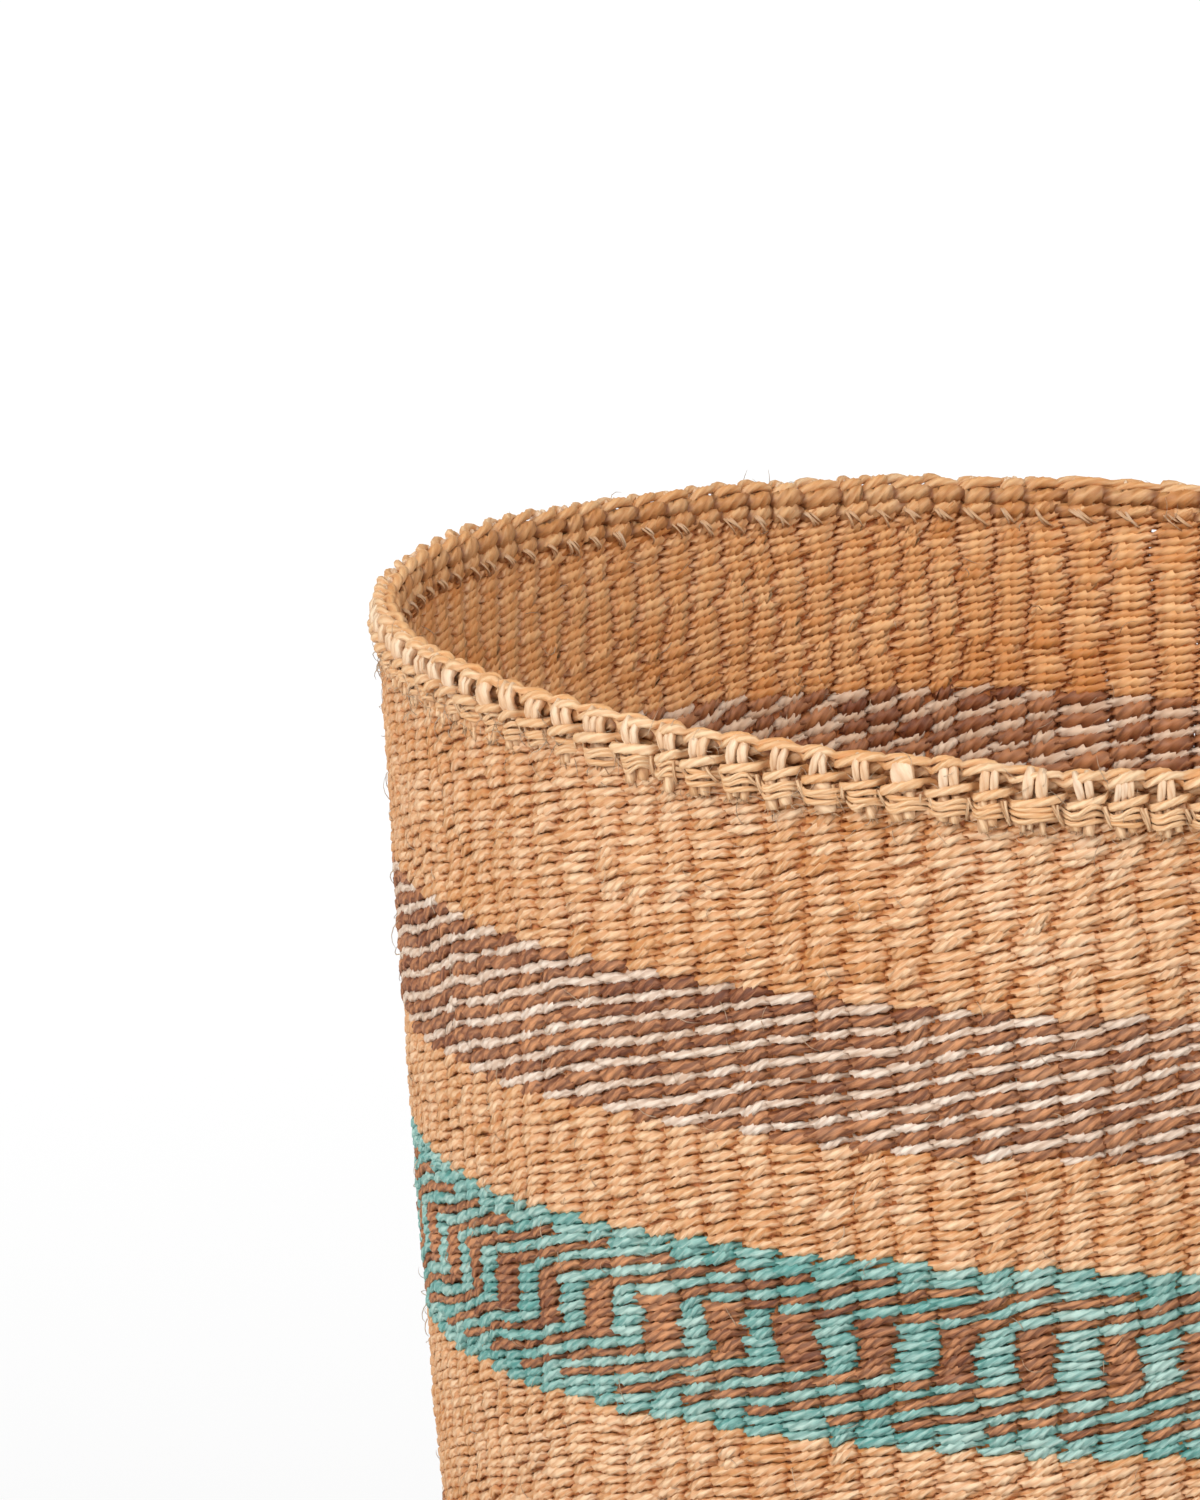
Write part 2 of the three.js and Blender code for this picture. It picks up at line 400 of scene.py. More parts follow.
@dataclass
class Strands:
    """Cord surfaces as plain arrays, gathered until they become one mesh."""

    points: list[Array] = field(default_factory=list)
    marks: list[Array] = field(default_factory=list)
    quads: list[Array] = field(default_factory=list)
    lays: list[Array] = field(default_factory=list)
    slots: list[Array] = field(default_factory=list)
    count: int = 0

    def add(
        self,
        rings: Array,
        way: Array,
        share: Array,
        tone: Array | float,
        closed: bool = False,
        slot: Array | int = 0,
        side: Array | float = 1.0,
    ) -> None:
        """Skins rows of rings as tubes.

        Formula: corner j of ring i joins corner j of ring i + 1 and the next corner of both. An
        open tube's end rings are closed by a fan about their middle.

        Args:
            rings: ring corners; the last axes are ring, corner and xyz, and the others are tubes.
            way: way along each tube at its rings.
            share: share of a turn round the tube at its corners.
            tone: lightness offset at its rings.
            closed: whether each tube's last ring joins its first.
            slot: material slot at its rings.
            side: 1 where a cord runs outside the wall, -1 inside it, 0 where it crosses.
        """
        length, sides = rings.shape[-3:-1]
        lay = np.stack(np.broadcast_arrays(way[..., None], share, rings[..., 0])[:2], axis=-1)
        marks = np.stack(np.broadcast_arrays(tone, side, slot, rings[..., 0, 0])[:3], axis=-1)
        rings, lay = (part.reshape(-1, length, sides, part.shape[-1]) for part in (rings, lay))
        marks = marks.reshape(-1, length, 1, 3)
        tubes = len(rings)
        numbers = np.arange(tubes * length * sides).reshape(tubes, length, sides) + self.count
        after = np.roll(numbers, -1, axis=1)
        turned, turned_after = np.roll(numbers, -1, axis=2), np.roll(after, -1, axis=2)
        quads = np.stack([numbers, after, turned_after, turned], axis=-1)
        lay_after = np.roll(lay, -1, axis=1)
        if closed:
            lay_after[:, -1] = 2 * lay[:, -1] - lay[:, -2]
        else:
            quads, lay_after = quads[:, :-1], lay_after[:, :-1]
        start = lay[:, : quads.shape[1]]
        around = np.array([0, 1 / sides])
        corners = np.stack([start, lay_after, lay_after + around, start + around], axis=-2)
        self._gather(rings, marks, quads, corners, marks[:, : quads.shape[1]])
        if closed:
            return
        for ring, forward in ((0, True), (-1, False)):
            hub = np.broadcast_to(self.count + np.arange(tubes)[:, None], (tubes, sides))
            edge = (numbers[:, ring], turned[:, ring])
            fan = np.stack([*(edge if forward else edge[::-1]), hub, hub], axis=-1)
            fan_lay = np.repeat(lay[:, ring, :, None], 4, axis=2)
            middle = rings[:, ring].mean(axis=1, keepdims=True)
            self._gather(middle, marks[:, ring], fan, fan_lay, marks[:, ring])

    def _gather(
        self, points: Array, marks: Array, quads: Array, lays: Array, face_marks: Array
    ) -> None:
        """Keeps one more set of points and of faces, each flattened to plain rows.

        Args:
            points: the points.
            marks: their tone and side, and their slot, which points don't need.
            quads: the faces' four point numbers, of which a fan's last two are the same.
            lays: the lay at the faces' corners.
            face_marks: the same marks for the faces, of which the slot is read.
        """
        marks = np.broadcast_to(marks[..., :2], (*points.shape[:-1], 2))
        slots = np.broadcast_to(face_marks[..., 2], quads.shape[:-1])
        self.points.append(points.reshape(-1, 3))
        self.marks.append(marks.reshape(-1, 2))
        self.quads.append(quads.reshape(-1, 4))
        self.lays.append(lays.reshape(-1, 4, 2))
        self.slots.append(slots.reshape(-1))
        self.count += len(self.points[-1])

    def build(self, name: str, materials: Sequence[Material]) -> Piece:
        """Makes the mesh and its object, with smooth faces, a lay map and two attributes.

        Args:
            name: the piece's name.
            materials: its materials, in the order of the slots.

        Returns:
            The new object, at the origin.
        """
        points = HAND.lift(np.concatenate(self.points))
        quads = np.concatenate(self.quads)
        fans = quads[:, 2] == quads[:, 3]
        keep_corner = np.ones(quads.shape, bool)
        keep_corner[fans, 3] = False
        sizes = np.where(fans, 3, 4)
        starts = np.concatenate([[0], np.cumsum(sizes)[:-1]])
        slots = np.concatenate(self.slots)
        mesh = bpy.data.meshes.new(name)
        mesh.vertices.add(len(points))
        mesh.vertices.foreach_set("co", points.astype(np.float32).ravel())
        mesh.loops.add(int(sizes.sum()))
        mesh.loops.foreach_set("vertex_index", quads[keep_corner].astype(np.int32))
        mesh.polygons.add(len(quads))
        mesh.polygons.foreach_set("loop_start", starts.astype(np.int32))
        mesh.polygons.foreach_set("material_index", slots.astype(np.int32))
        mesh.polygons.foreach_set("use_smooth", np.ones(len(quads), bool))
        mesh.update(calc_edges=True)
        lays = np.concatenate(self.lays)[keep_corner]
        mesh.uv_layers.new(name="lay").data.foreach_set("uv", lays.astype(np.float32).ravel())
        marks = np.concatenate(self.marks).astype(np.float32)
        for column, label in enumerate(("tone", "side")):
            attribute = mesh.attributes.new(label, "FLOAT", "POINT")
            attribute.data.foreach_set("value", np.ascontiguousarray(marks[:, column]))
        for material in materials:
            mesh.materials.append(material)
        return new_object(name, mesh)


def new_object(name: str, data: bpy.types.ID) -> Piece:
    """Makes an object and puts it in the scene.

    Args:
        name: the object's name.
        data: its mesh, camera or lamp.

    Returns:
        The object.
    """
    made = bpy.data.objects.new(name, data)
    bpy.context.scene.collection.objects.link(made)
    return made


def sweep(
    strands: Strands,
    path: Array,
    wide: Array | float,
    deep: Array | float,
    tone: Array,
    sides: int,
    rise: float = 0.0,
) -> None:
    """Runs an oval section along open paths.

    Formula: the front is the level direction away from the basket's axis, tipped up by the rise,
    and the section's side direction is square to it and to the path. Each corner is the path's
    point plus deep times cosine along the front and wide times sine along the side.

    Args:
        strands: where the new cords go.
        path: middle points, shaped tube, ring, xyz.
        wide: half the section's width at the rings.
        deep: half its depth at the rings.
        tone: lightness offset at the rings.
        sides: corners of the section.
        rise: how far the front is tipped up.
    """
    ahead = unit(np.gradient(path, axis=1))
    aside = unit(np.cross(outward_at(path) + np.array([0.0, 0.0, rise]), ahead))
    facing = np.cross(ahead, aside)
    share = np.arange(sides) / sides
    forward, sideways = oval(share, deep, wide)
    rings = path[..., None, :] + forward[..., None] * facing[..., None, :]
    rings = rings + sideways[..., None] * aside[..., None, :]
    steps = np.linalg.norm(np.diff(path, axis=1), axis=-1)
    way = np.pad(np.cumsum(steps, axis=1), ((0, 0), (1, 0)))
    strands.add(rings, way, share, tone)


@dataclass
class Twiner:
    """Lays rows of two-cord twining round the basket's form.

    The wanders are smooth drifts of columns, rows, depth and tone, and the spreads are the
    differences from stitch to stitch. The crossing shift moves the places where the cords cross;
    the inner hold is the share of it that is missing inside the wall, and within the calm radius
    all sideways drift dies away towards the middle of the base.
    """

    form: BasketForm
    column_wander: Wander = Wander(seed=3, size=0.55 * MM, round_waves=50, along_length=45 * MM)
    row_wander: Wander = Wander(seed=5, size=0.26 * MM, round_waves=30, along_length=90 * MM)
    fine_wander: Wander = Wander(seed=6, size=0.1 * MM, round_waves=54, along_length=14 * MM)
    swell_wander: Wander = Wander(seed=8, size=0.14 * MM, round_waves=50, along_length=70 * MM)
    tone_wander: Wander = Wander(seed=363, size=0.3, round_waves=12, along_length=60 * MM)
    crossing_shift: float = 0.85 * MM
    crossing_limit: float = 1.8
    crossing_shade: float = 0.08
    inner_hold: float = 0.6
    calm_radius: float = 60 * MM
    size_spread: float = 0.09
    slant_spread: float = 0.2
    level_spread: float = 0.12 * MM
    depth_spread: float = 0.06
    tone_spread: float = 0.6

    def _turned(self, shift: Array, along: Array) -> Array:
        """Turns a sideways shift into an angle, and calms it near the middle of the base."""
        radius = self.form.radius_at(along)
        return shift * np.minimum(radius / self.calm_radius, 1) / radius

    def angle_of(self, turns: Array, along: Array, warps: int = WEAVE.warps) -> Array:
        """Gives the angle of a place counted in warps, with the columns' crowding and wander."""
        angle = HAND.crowd(turns * FULL_TURN / warps)
        return angle + self._turned(self.column_wander(angle, along), along)

    def rows(
        self,
        strands: Strands,
        along: Array,
        cords: Array,
        seed: int,
        twine: Twine = WALL_TWINE,
        warps: int = WEAVE.warps,
        bulk: Array | float = 1.0,
        shade: float = 0.0,
    ) -> None:
        """Twines rows of cord pairs.

        Formula: a cord's distance from the pair's middle is the depth times a flattened cosine of
        its way round, counted in warps, so it lies outside one warp and inside the next. Its
        height in the row swings by the slant, half a warp behind, and bows up by the arch. The
        swing is half a sine and half a wave of straight lines. The section is an oval that
        narrows where the cords cross, and turns half round at every warp.

        Args:
            strands: where the new cords go.
            along: way along the surface of each row.
            cords: material slot of each row's two cords, shaped row, 2.
            seed: seed of the stitches' small differences.
            twine: how the cords lie in the row.
            warps: number of warps round the basket here, an even number.
            bulk: size of each row's two cords against the usual, shaped row, 2.
            shade: lightness of all these rows against the usual.
        """
        dice = np.random.default_rng(seed)
        count = len(along)
        along = along[:, None, None]
        row, cord, _ = np.ogrid[:count, :2, :1]
        places = np.arange(warps)[:, None] + np.array(twine.steps)
        phase = np.broadcast_to(places.ravel(), (count, 2, places.size))
        turns = phase + cord
        stitch = np.repeat(np.arange(warps), len(twine.steps))

        def each_stitch(spread: float) -> Array:
            """Draws a value for each stitch, and spreads it over the stitch's rings."""
            values = dice.normal(size=(count, 2, warps)) * spread * twine.unevenness
            return np.clip(values, -2 * spread, 2 * spread)[row, cord, stitch]

        side = np.cos(math.pi * phase)
        fullness = np.abs(side) ** twine.bluntness
        inside = np.clip(-side, 0, 1)
        inner = np.sqrt(inside)
        limit = self.crossing_limit
        shifts = np.clip(dice.normal(size=(count, warps)), -limit, limit) * self.crossing_shift
        before = np.floor(turns - 0.5).astype(int) % warps
        shift = between(shifts[row, before], shifts[row, (before + 1) % warps], (turns - 0.5) % 1)
        shift = shift * (1 - self.inner_hold * inner)
        angle = self.angle_of(turns, along, warps) + self._turned(shift, along)

        wave = np.sin(math.pi * phase)
        swing = np.arcsin(np.clip(wave, -1, 1)) / math.pi + wave / 2
        swing = swing * (1 - twine.dip * (1 - fullness) ** 2)
        swing = swing * between(1, twine.inner_slant, inside)
        size = (1 + each_stitch(self.size_spread)) * np.asarray(bulk)[..., None]
        climb = twine.slant * (1 + each_stitch(self.slant_spread)) * swing
        climb = climb + twine.arch * np.abs(side) + each_stitch(self.level_spread) * fullness
        climb = climb + self.row_wander(angle, along) + self.fine_wander(angle, along)
        swell = twine.depth * (1 + each_stitch(self.depth_spread)) + self.swell_wander(angle, along)
        outside = np.sign(side) * fullness
        out = twine.stand + swell * outside * between(1, twine.inner_depth, inner)
        half_out = twine.thickness / 2 * between(twine.squeeze, 1, fullness) * size
        half_up = twine.height / 2 * between(twine.pinch, 1, fullness) * size
        half_up = half_up * between(1, twine.inner_height, inner)
        share = np.arange(twine.sides) / twine.sides + phase[..., None] / 2
        outwards, upwards = oval(share, half_out, half_up)
        outwards, upwards = out[..., None] + outwards, climb[..., None] + upwards
        rings = self.form.place(angle[..., None], along[..., None], outwards, upwards)
        way = phase * FULL_TURN / warps * self.form.radius_at(along)
        tone = shade + each_stitch(self.tone_spread) + self.tone_wander(angle, along)
        # Painted shade: the tone is lowered where the cords cross between warps.
        tone = tone - self.crossing_shade * (1 - fullness)
        strands.add(rings, way, share, tone, closed=True, slot=cords[..., None], side=outside)


class Wire:
    """One shader value on which Python's arithmetic can be written."""

    def __init__(self, bench: "Bench", socket: bpy.types.NodeSocket | None) -> None:
        """Keeps the bench that makes nodes and the socket that gives the value."""
        self.bench = bench
        self.socket = socket

    def _math(self, operation: str, *values: "Wire | float") -> "Wire":
        """Adds one Math node."""
        return self.bench.node("Math", dict(enumerate(values)), operation=operation)

    def __add__(self, other: "Wire | float") -> "Wire":
        """The sum of two values."""
        return self._math("ADD", self, other)

    def __sub__(self, other: "Wire | float") -> "Wire":
        """The difference of two values."""
        return self._math("SUBTRACT", self, other)

    def __rsub__(self, other: float) -> "Wire":
        """The difference, with the number written first."""
        return self._math("SUBTRACT", other, self)

    def __mul__(self, other: "Wire | float") -> "Wire":
        """The product of two values."""
        return self._math("MULTIPLY", self, other)

    def __pow__(self, other: float) -> "Wire":
        """The value raised to a power."""
        return self._math("POWER", self, other)

    def cosine(self) -> "Wire":
        """The cosine of an angle in radians."""
        return self._math("COSINE", self)

    def sine(self) -> "Wire":
        """The sine of an angle in radians."""
        return self._math("SINE", self)

    def clamped(self) -> "Wire":
        """The value kept from 0 to 1."""
        return self.bench.node("Clamp", {"Value": self})

    __radd__ = __add__
    __rmul__ = __mul__


class Bench:
    """Makes the nodes of one material."""

    def __init__(self, name: str) -> None:
        """Starts an empty node material.

        Args:
            name: the material's name.
        """
        self.material = bpy.data.materials.new(name)
        self.material.use_nodes = True
        self.tree = self.material.node_tree
        self.tree.nodes.clear()

    def node(
        self, kind: str, sockets: dict | None = None, out: int | str = 0, **settings: str
    ) -> Wire:
        """Adds a shader node of any type.

        Args:
            kind: the node's type, without the ShaderNode before it.
            sockets: values or wires by socket name or number.
            out: which of its outputs to give back.
            settings: its own settings by name, which are set before its sockets.

        Returns:
            The wire from that output, which the material's output node lacks.
        """
        made = self.tree.nodes.new("ShaderNode" + kind)
        for name, value in settings.items():
            setattr(made, name, value)
        for key, value in (sockets or {}).items():
            if isinstance(value, Wire):
                self.tree.links.new(value.socket, made.inputs[key])
            else:
                made.inputs[key].default_value = value
        return Wire(self, made.outputs[out] if made.outputs else None)

    def blend(
        self, share: Wire | float, first: Wire | Colour, second: Wire | Colour, kind: str = "MIX"
    ) -> Wire:
        """Blends two colours.

        Args:
            share: 0 for the first colour alone, 1 for the second at its fullest.
            first: the colour below.
            second: the colour above.
            kind: the way of blending.

        Returns:
            The wire of the blended colour.
        """
        opaque = [(*c, 1.0) if isinstance(c, tuple) else c for c in (first, second)]
        sockets = {0: share, 6: opaque[0], 7: opaque[1]}
        return self.node("Mix", sockets, out=2, data_type="RGBA", blend_type=kind)

    def noise(self, place: Wire, scale: float, roughness: float) -> Wire:
        """Adds a noise with three finer levels."""
        sockets = {"Vector": place, "Scale": scale, "Detail": 3.0, "Roughness": roughness}
        return self.node("TexNoise", sockets)

    def finish(self, surface: Wire) -> Material:
        """Connects the finished shader to the material's output, and gives the material."""
        self.node("OutputMaterial", {"Surface": surface})
        return self.material


@dataclass(frozen=True)
class CordFinish:
    """Dyed sisal cord of a few plies, with fine fibres along them.

    The colours are screen colours from 0 to 255. A cord goes from deep to pale by its fibres
    and its tone, by a painted highlight on the tops of its plies and on its crest, the face away
    from the wall's middle, and fades in patches. The ply valley shade is how much painted shade,
    in the painted shade colour, darkens the grooves between the plies, and the cross painted
    shade is the painted shade where a cord passes between two warps. Inside the wall the shares
    of fibres and plies lose the inner calm, and the painted inside tint, a painted shade with warm
    bounced light, multiplies the cord's colour. The fibre waves are how finely the fibres change
    along the cord, the two grains the scales of the fibres and of the faded patches, and the two
    ridges the shares of plies and fibres in the relief.
    """

    name: str
    pale: Colour
    deep: Colour
    painted_shade_colour: Colour
    faded: Colour
    roughness: float = 0.55
    roughness_spread: float = 0.3
    plies: int = 3
    ply_length: float = 4.2 * MM
    relief: float = 0.19 * MM
    ply_valley_shade: float = 0.38
    cross_painted_shade: float = 0.1
    inner_calm: float = 0.65
    painted_inside_tint: Colour = (1.0, 0.94, 0.86)
    ground: float = 0.48
    fibre_share: float = 1.9
    ply_top_highlight_share: float = 0.25
    face_highlight_share: float = 0.2
    tone_share: float = 0.25
    fading: float = 0.55
    fading_contrast: float = 3.0
    fading_tone: float = 0.1
    fuzz: float = 0.7
    fuzz_roughness: float = 0.45
    fibre_waves: float = 140.0
    fibre_grain: float = 2.6
    patch_grain: float = 130.0
    ply_ridge: float = 0.7
    fibre_ridge: float = 0.9

    def material(self) -> Material:
        """Builds the finish from the cord's lay map, its two attributes and its place.

        Formula: the turn is the angle round the cord less the plies' twist along it, the lobe a
        cosine of as many waves as plies, and the fibres a noise stretched along the turned cord.

        Returns:
            The material.
        """
        bench = Bench(self.name)
        pale, deep, painted_shade_colour, faded = map(linear, (self.pale, self.deep, self.painted_shade_colour, self.faded))
        lay = bench.node("UVMap", uv_map="lay")
        along, around = (bench.node("SeparateXYZ", {0: lay}, axis) for axis in (0, 1))
        tone, side = (
            bench.node("Attribute", out="Fac", attribute_name=label) for label in ("tone", "side")
        )
        turn = FULL_TURN * (around - along * (1 / (self.plies * self.ply_length)))
        lobe = 0.5 + 0.5 * (turn * float(self.plies)).cosine()
        # Painted highlight: the crest, the face away from the wall's middle, is painted paler.
        crest = (FULL_TURN * around).cosine() * side
        twisted = {0: turn.cosine(), 1: turn.sine(), 2: along * self.fibre_waves}
        fibre = bench.noise(bench.node("CombineXYZ", twisted), self.fibre_grain, roughness=0.7)
        place = bench.node("TexCoord", out="Object")
        patches = bench.noise(place, self.patch_grain, roughness=0.6)
        inside = (side * -1.0).clamped()
        calm = 1.0 - inside * self.inner_calm
        # The fibres are the cord's own grain; the ply tops and the crest add painted highlight.
        grain_and_highlight = (fibre - 0.5) * self.fibre_share + (lobe - 0.5) * self.ply_top_highlight_share
        grain_and_highlight = grain_and_highlight + (crest - 0.4) * self.face_highlight_share
        light = (self.ground + tone * self.tone_share + grain_and_highlight * calm).clamped()
        fade = (patches - 0.5) * self.fading_contrast + tone * self.fading_tone
        colour = bench.blend(light, deep, pale)
        colour = bench.blend(fade.clamped() * self.fading, colour, faded)
        # Painted shade: the grooves between the plies are darkened toward the shade colour.
        colour = bench.blend(((1.0 - lobe) ** 2.0) * self.ply_valley_shade * calm, colour, painted_shade_colour)
        # Painted shade: the cord is darkened where it crosses between two warps.
        colour = bench.blend(((1.0 - side * side) ** 3.0) * self.cross_painted_shade, colour, painted_shade_colour)
        # Painted shade with warm bounced light: inside the wall this tint multiplies the cord's
        # colour.
        colour = bench.blend(inside, colour, self.painted_inside_tint, "MULTIPLY")
        ridges = (lobe * self.ply_ridge + fibre * self.fibre_ridge) * calm
        height = {"Strength": 1.0, "Distance": self.relief, "Height": ridges}
        sockets = {
            "Base Color": colour,
            "Roughness": (self.roughness + (0.5 - fibre) * self.roughness_spread).clamped(),
            "Normal": bench.node("Bump", height),
            "Sheen Weight": self.fuzz,
            "Sheen Roughness": self.fuzz_roughness,
            "Sheen Tint": (*deep, 1.0),
        }
        return bench.finish(bench.node("BsdfPrincipled", sockets))


FINISHES = {
    Cord.NATURAL: CordFinish(
        "natural_sisal", (243, 207, 167), (205, 144, 86), (194, 112, 48), (228, 199, 169),
        cross_painted_shade=0.22, painted_inside_tint=(1.08, 0.91, 0.66),
    ),
    Cord.BROWN: CordFinish(
        "brown_sisal", (210, 146, 98), (124, 66, 34), (66, 30, 14), (182, 136, 104), ply_valley_shade=0.55
    ),
    Cord.CREAM: CordFinish(
        "cream_sisal", (244, 226, 208), (212, 182, 156), (160, 116, 86), (222, 206, 190),
        painted_inside_tint=(1.02, 0.9, 0.78),
    ),
    Cord.TEAL: CordFinish(
        "teal_sisal", (182, 210, 199), (88, 156, 148), (44, 92, 86), (184, 200, 186)
    ),
}
RIM_FINISH = CordFinish(
    "rim_sisal", (241, 208, 166), (219, 165, 110), (196, 126, 72), (229, 199, 165),
    ply_length=4.5 * MM, relief=0.18 * MM, ply_valley_shade=0.34, inner_calm=0.3, painted_inside_tint=(0.97, 0.83, 0.66),
)
# Painted shade: the rim's inner rows are darker, with dark spots between their stitches, for the
# shade in the holes between the posts.
PAINTED_SHADE_RIM_FINISH = replace(
    RIM_FINISH, name="painted_shade_rim_sisal", deep=(208, 150, 94), painted_shade_colour=(128, 72, 36), cross_painted_shade=0.8
)
# Painted shade: the warp bundles are coloured darker than the cords, for the shade in the gaps
# between stitches.
PAINTED_SHADE_WARP_FINISH = CordFinish(
    "painted_shade_warp_sisal", (220, 146, 88), (190, 112, 56), (150, 80, 34), (190, 124, 76)
)
WARP_FINISH = CordFinish(
    "warp_sisal", (243, 219, 188), (222, 180, 137), (184, 124, 78), (230, 214, 194),
    roughness=0.45, ply_length=7 * MM, relief=0.2 * MM, ply_valley_shade=0.35,
)
CUT_END_FINISH = CordFinish(
    "cut_end_sisal", (240, 204, 162), (202, 152, 104), (150, 96, 54), (218, 188, 158),
    roughness=0.6, ply_length=5 * MM, relief=0.22 * MM, ply_valley_shade=0.5,
)


@dataclass(frozen=True)
class Band:
    """One band of the wall: its CAD node, its cords and their motif."""

    node: str
    cords: tuple[Cord, ...]
    motif: Motif
    slot: str
    bulk: Floats = (1.0, 1.0)
    pieces: int = 1
    shade: float = 0.0

    def cord_of(self, rows: int) -> Array:
        """Gives the material slot of each row's two cords, shaped row, 2, from the foot up."""
        row, cord = np.indices((rows, 2))
        return {Motif.PLAIN: 0 * row, Motif.STAIR: (row + cord + 1) % 2}.get(self.motif, cord)


BASE_NODES = ("base_start", "base_inner_rounds", "base_middle_rounds", "base_outer_rounds")
PLAIN_NATURAL = ((Cord.NATURAL,), Motif.PLAIN, "natural_cord")
STRIPE = ((Cord.BROWN, Cord.CREAM), Motif.STAIR, "brown_cord", (1.11, 0.87))
TEAL_EDGE = ((Cord.TEAL,), Motif.PLAIN, "teal_cord")
TEAL_STAIR = ((Cord.TEAL, Cord.BROWN), Motif.STAIR, "teal_cord", (1.04, 0.93))
BANDS = (
    Band("lower_natural_weft", *PLAIN_NATURAL, pieces=2),
    Band("lower_stripe_weft", *STRIPE),
    Band("natural_weft_below_teal", *PLAIN_NATURAL, pieces=2),
    Band("teal_lower_edge_weft", *TEAL_EDGE),
    Band("lower_stair_weft", *TEAL_STAIR),
    Band("block_weft", (Cord.TEAL, Cord.BROWN), Motif.BLOCK, "teal_cord", (0.94, 1.04)),
    Band("upper_stair_weft", *TEAL_STAIR),
    Band("teal_upper_edge_weft", *TEAL_EDGE),
    Band("natural_weft_above_teal", *PLAIN_NATURAL),
    Band("upper_stripe_weft", *STRIPE),
    Band("upper_natural_weft", *PLAIN_NATURAL, pieces=2, shade=-0.35),
)


def keep(piece: Piece, slot: str, *nodes: str) -> None:
    """Rides a finished piece on the basket, hides the CAD nodes it stands for, and logs its faces.

    Args:
        piece: the finished piece.
        slot: not used.
        nodes: the CAD nodes that the piece replaces.
    """
    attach(piece, ROOT_BODY)
    if nodes:
        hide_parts(*nodes)
    log.info("%s: %d faces", piece.name, len(piece.data.polygons))


def row_places(low: float, high: float) -> Array:
    """Spaces whole rows evenly between two ways along the surface, half a row in at each end."""
    rows = round((high - low) / WEAVE.row_pitch)
    return low + (np.arange(rows) + 0.5) * (high - low) / rows


@dataclass
class Wall:
    """The twined wall, band by band from the turn to the rim."""

    twiner: Twiner
    materials: dict[Cord, Material]
    seed: int = 100

    def build(self) -> None:
        """Twines every band in one or more pieces of whole rows."""
        form = self.twiner.form
        for number, band in enumerate(BANDS):
            along = row_places(*form.at_height(form.levels[number : number + 2]))
            cords = band.cord_of(len(along))
            bulk = np.array(band.bulk)[cords]
            parts = (np.array_split(rows, band.pieces) for rows in (along, cords, bulk))
            for part, (places, pairs, sizes) in enumerate(zip(*parts)):
                strands = Strands()
                seed = self.seed + 10 * number + part
                self.twiner.rows(strands, places, pairs, seed, bulk=sizes, shade=band.shade)
                name = band.node + ("_cords" if band.pieces == 1 else f"_cords_{part + 1}")
                piece = strands.build(name, [self.materials[c] for c in band.cords])
                keep(piece, band.slot, band.node)


@dataclass
class Base:
    """The flat twined base and the turn up to the wall."""

    twiner: Twiner
    material: Material
    warp_counts: tuple[int, ...] = (6, 18, 54, WEAVE.warps, WEAVE.warps)
    seed: int = 300

    def build(self) -> None:
        """Twines the start, the stages of rounds with more and more warps, and the turn."""
        form = self.twiner.form
        reaches = [0.0, *map(form.edge_of, BASE_NODES), float(form.at_height(form.levels[0]))]
        for number, node in enumerate((*BASE_NODES, form.turn_node)):
            along = row_places(*reaches[number : number + 2])
            strands = Strands()
            cords = np.zeros((len(along), 2), int)
            seed, warps = self.seed + number, self.warp_counts[number]
            self.twiner.rows(strands, along, cords, seed, BASE_TWINE, warps)
            keep(strands.build(node + "_cords", [self.material]), "natural_cord", node)


@dataclass
class Uprights:
    """The flat warp bundles inside the weft, wide enough to overlap and close the small gaps
    between stitches, coloured darker as painted shade in those gaps.
    """

    twiner: Twiner
    material: Material
    cover: float = 1.13
    half_depth: float = 0.6 * MM
    sides: int = 6
    overlap: float = 2 * MM
    stages: tuple[tuple[int, int], ...] = ((18, 5), (54, 8), (WEAVE.warps, 52))

    def build(self) -> None:
        """Runs a bundle along the middle surface at every warp of each stage.

        Formula: the section is an oval as wide as the cover times the space of a warp.
        """
        form = self.twiner.form
        inner, middle, outer = map(form.edge_of, BASE_NODES[:3])
        top = float(form.at_height(form.levels[-1]))
        ends = ((inner / 3, middle), (middle, outer), (outer, top))
        strands = Strands()
        share = (np.arange(self.sides) + 0.5) / self.sides
        for (low, high), (warps, steps) in zip(ends, self.stages):
            along = np.linspace(low - self.overlap, high, steps)[None, :]
            angle = self.twiner.angle_of(np.arange(warps)[:, None], along, warps)
            radius = form.radius_at(along)
            out, aside = oval(share, self.half_depth, self.cover * math.pi * radius / warps)
            turned = angle[..., None] - aside / radius[..., None]
            rings = form.place(turned, along[..., None], out, 0 * out)
            strands.add(rings, along, share, 0.0)
        keep(strands.build("upright_warps", [self.material]), "natural_cord")


@dataclass(frozen=True)
class Tails:
    """Thin tails that hang aslant from the rim's lower cord, some at each warp, in metres.

    The places, the drift and the lean are counted in warps, and the way is the side to which the
    tails lean. The outs are the distances outside the middle surface down the tail. Tails that
    sink lie deeper where the folded ends do. Pairs are the least and the most, but the tone's
    are its middle and its spread.
    """

    places: Floats
    drift: float
    way: int
    lean: Floats
    start: float
    drop: Floats
    outs: Floats
    out_spread: float
    half_width: Floats
    tone: Floats
    sinks: bool


